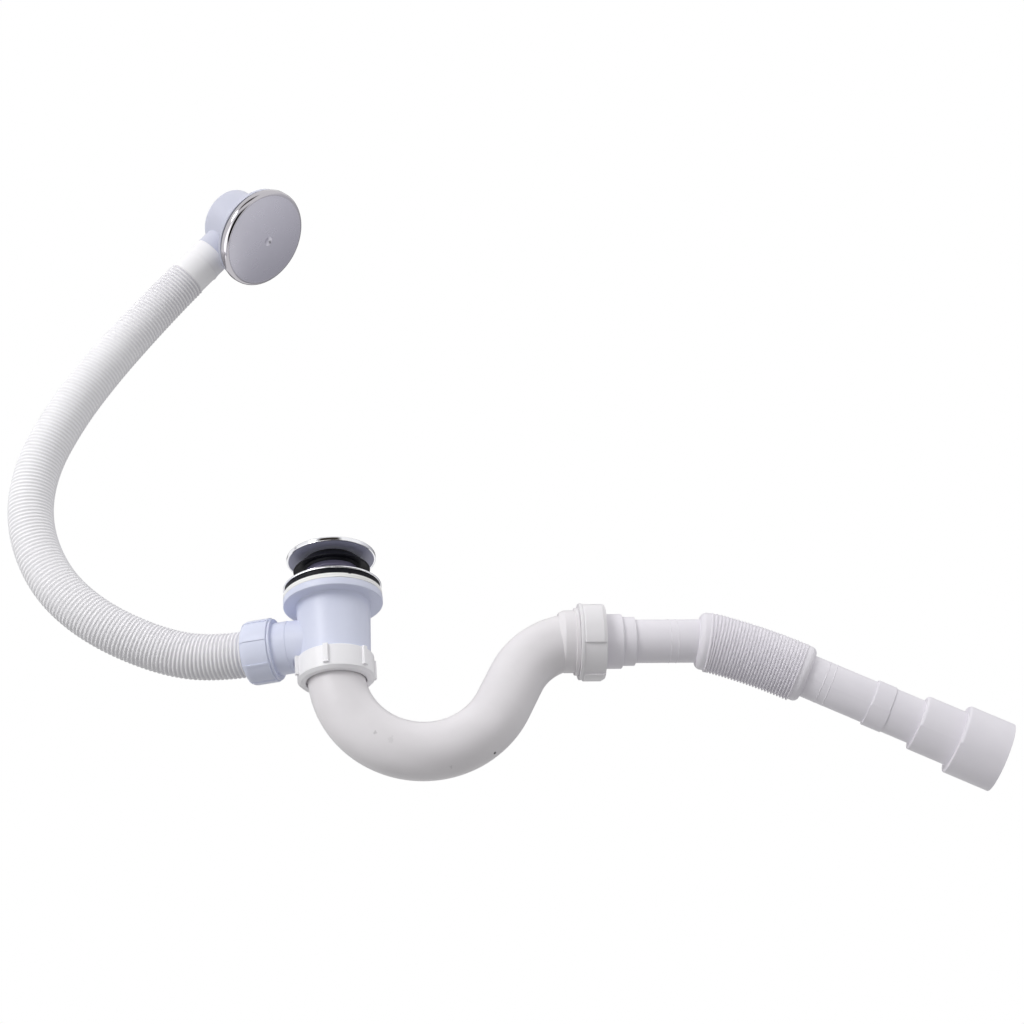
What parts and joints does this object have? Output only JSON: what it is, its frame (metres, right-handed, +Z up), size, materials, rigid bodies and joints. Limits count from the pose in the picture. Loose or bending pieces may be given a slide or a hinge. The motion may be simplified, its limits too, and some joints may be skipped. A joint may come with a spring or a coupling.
{
  "type": "bath waste and overflow",
  "caption": "Pop-up bath waste with a side branch, S-shaped trap, flexible bellows outlet with a stepped end, and a corrugated hose up to a round overflow head.",
  "frame": {"origin": "on the waste's axis at the bath seat, the underside of the chrome flange", "axes": "+Z up along the waste's axis, +X towards the trap's outlet, +Y away from the pictured side"},
  "size_m": [0.7036, 0.0789, 0.5519],
  "materials": {
    "chrome": "polished chrome",
    "satin_chrome": "satin chrome",
    "black_rubber": "smooth rubber",
    "grey_plastic": "moulded",
    "brass": "turned brass",
    "steel": "drawn steel",
    "cream_foam": "foam rubber",
    "cool_white_plastic": "smooth moulded plastic, bluish white",
    "warm_white_plastic": "smooth moulded plastic, white",
    "connector_plastic": "blow-moulded plastic, white",
    "hose_plastic": "corrugated plastic, white"
  },
  "bodies": {
    "waste": {"waste_flange": "chrome", "overflow_plate": "satin_chrome", "flange_gasket": "black_rubber", "overflow_gasket": "black_rubber", "hose_seal": "black_rubber", "trap_seal": "black_rubber", "union_seal": "black_rubber", "click_sleeve": "brass", "overflow_insert": "brass", "plug_spring": "steel", "latch_pin": "steel", "overflow_screw": "steel", "body_washer": "cream_foam", "waste_body": "cool_white_plastic", "hose_nut": "cool_white_plastic", "overflow_body": "cool_white_plastic", "trap_nut": "warm_white_plastic", "trap_bend": "warm_white_plastic", "union_nut": "warm_white_plastic", "flexible_connector": "connector_plastic", "overflow_hose": "hose_plastic"},
    "plug": {"plug_cap": "chrome", "plug_seal": "black_rubber", "plug_hub": "grey_plastic", "plug_stem": "brass"}
  },
  "joints": [
    {"name": "plug_slide", "type": "slide", "parent": "waste", "child": "plug", "axis": [0, 0, 1], "range_m": [-0.0131, 0], "stiffness_N_per_m": 400, "springref_m": 0.01, "deforming": ["plug_spring"]}
  ]
}
